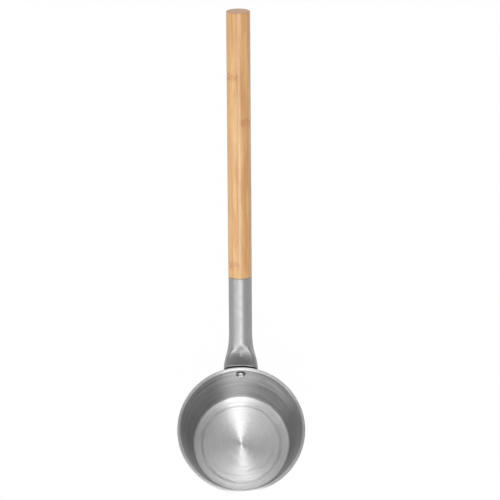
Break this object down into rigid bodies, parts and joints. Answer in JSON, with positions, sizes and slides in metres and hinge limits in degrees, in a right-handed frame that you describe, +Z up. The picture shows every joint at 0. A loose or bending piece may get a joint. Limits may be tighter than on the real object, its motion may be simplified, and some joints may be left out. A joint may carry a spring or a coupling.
{
  "type": "sauna ladle",
  "caption": "Long-handled ladle: a conical turned steel cup with a narrow lip, a cast metal ferrule with a flared foot, and a round bamboo rod.",
  "frame": {"origin": "centre of the flat panel under the cup, 0.4 mm above the ring the cup stands on", "axes": "+Z up out of the cup's mouth; +Y level, towards the end of the handle; the ladle is symmetrical about the plane X = 0"},
  "size_m": [0.11, 0.3893, 0.2125],
  "materials": {
    "brushed_steel": "turned and brushed stainless steel",
    "satin_cast_metal": "satin cast metal",
    "bamboo": "oiled laminated bamboo",
    "black_rubber": "matt black rubber",
    "plated_steel": "bright screw steel"
  },
  "bodies": {
    "root": {"cup": "brushed_steel", "ferrule": "satin_cast_metal", "cup_gasket": "black_rubber", "handle_rod": "bamboo", "fixing_screw": "plated_steel", "sealing_washer": "black_rubber", "rod_screw": "plated_steel"}
  },
  "joints": []
}
